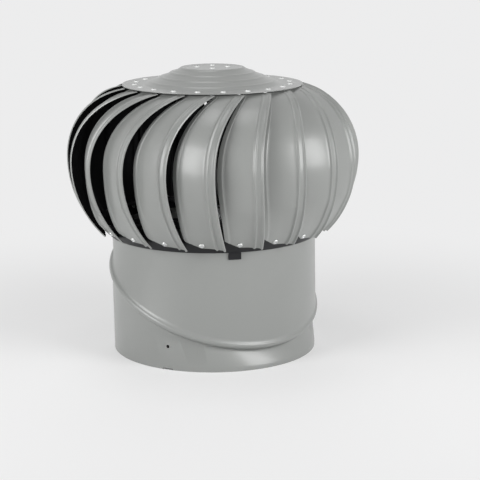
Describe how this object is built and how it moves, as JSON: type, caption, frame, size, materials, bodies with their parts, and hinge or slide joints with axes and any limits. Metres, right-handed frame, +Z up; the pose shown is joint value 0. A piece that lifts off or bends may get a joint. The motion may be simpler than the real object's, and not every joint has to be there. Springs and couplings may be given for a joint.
{
  "type": "roof turbine ventilator",
  "caption": "Wind-driven roof ventilator: a globe of overlapping curved vanes under a stepped cap turns on a spindle above a round throat whose upper section swivels on an inclined joint.",
  "frame": {"origin": "centre of the throat's bottom rim, on the head's vertical axis at rest", "axes": "+Z up along the spindle, -Y towards the side the picture is taken from, +X to its right"},
  "size_m": [0.428, 0.428, 0.4167],
  "materials": {
    "grey_paint": "semi-gloss grey paint on steel sheet",
    "black_paint": "satin black paint on steel",
    "rivet_aluminium": "plain, slightly dulled",
    "zinc_steel": "zinc plated",
    "bearing_steel": "ground"
  },
  "bodies": {
    "lower_throat": {"throat_lower": "grey_paint"},
    "upper_throat": {"throat_upper": "grey_paint", "throat_brace": "black_paint", "spindle": "zinc_steel", "spindle_nuts": "zinc_steel", "spindle_washers": "zinc_steel", "circlips": "zinc_steel", "lower_bearing_inner_ring": "bearing_steel", "upper_bearing_inner_ring": "bearing_steel"},
    "rotor": {"vane_01": "grey_paint", "vane_02": "grey_paint", "vane_03": "grey_paint", "vane_04": "grey_paint", "vane_05": "grey_paint", "vane_06": "grey_paint", "vane_07": "grey_paint", "vane_08": "grey_paint", "vane_09": "grey_paint", "vane_10": "grey_paint", "vane_11": "grey_paint", "vane_12": "grey_paint", "vane_13": "grey_paint", "vane_14": "grey_paint", "vane_15": "grey_paint", "vane_16": "grey_paint", "vane_17": "grey_paint", "vane_18": "grey_paint", "vane_19": "grey_paint", "vane_20": "grey_paint", "base_ring": "black_paint", "ring_rivets": "rivet_aluminium", "cap": "grey_paint", "cap_rivets": "rivet_aluminium", "upper_bearing_housing": "zinc_steel", "hub_rivets": "rivet_aluminium", "upper_bearing_outer_ring": "bearing_steel", "upper_bearing_ball_set": "bearing_steel", "lower_bearing_outer_ring": "bearing_steel", "lower_bearing_ball_set": "bearing_steel", "lower_bearing_housing": "zinc_steel", "rotor_spider": "black_paint", "spider_hub_rivets": "rivet_aluminium", "spider_rivets": "rivet_aluminium"}
  },
  "joints": [
    {"name": "throat_swivel", "type": "hinge", "parent": "lower_throat", "child": "upper_throat", "pos_m": [0, 0, 0.0955], "axis": [0.2391, -0.3291, 0.9135], "continuous": true},
    {"name": "turbine_spin", "type": "hinge", "parent": "upper_throat", "child": "rotor", "pos_m": [0, 0, 0.3], "axis": [0, 0, 1], "continuous": true}
  ]
}
